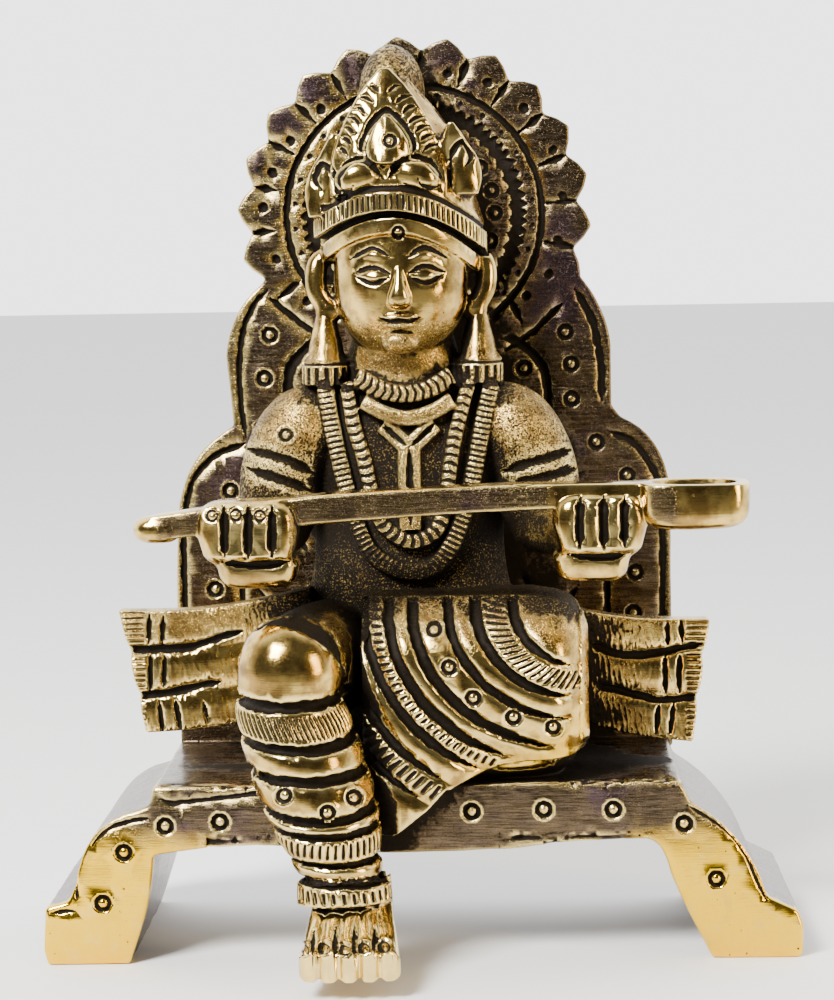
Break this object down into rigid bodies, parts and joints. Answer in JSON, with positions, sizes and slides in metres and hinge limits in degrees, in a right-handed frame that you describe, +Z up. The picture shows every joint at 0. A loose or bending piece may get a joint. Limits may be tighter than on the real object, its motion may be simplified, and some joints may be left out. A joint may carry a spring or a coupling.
{
  "type": "annapurna figure",
  "caption": "Small antique brass goddess seated on a bench with an engraved haloed back plate, one leg down, holding a ladle across her chest.",
  "frame": {"origin": "middle of the bounding box's underside, on the surface that the bench stands on", "axes": "+Z up through the figure's head, +X to the viewer's right along the bench, -Y the way the figure faces"},
  "size_m": [0.0814, 0.049, 0.1001],
  "materials": {
    "antique_brass": "antiqued: polished high points, near-black brown patina in the hollows"
  },
  "bodies": {
    "root": {"annapurna_figure": "antique_brass"}
  },
  "joints": []
}
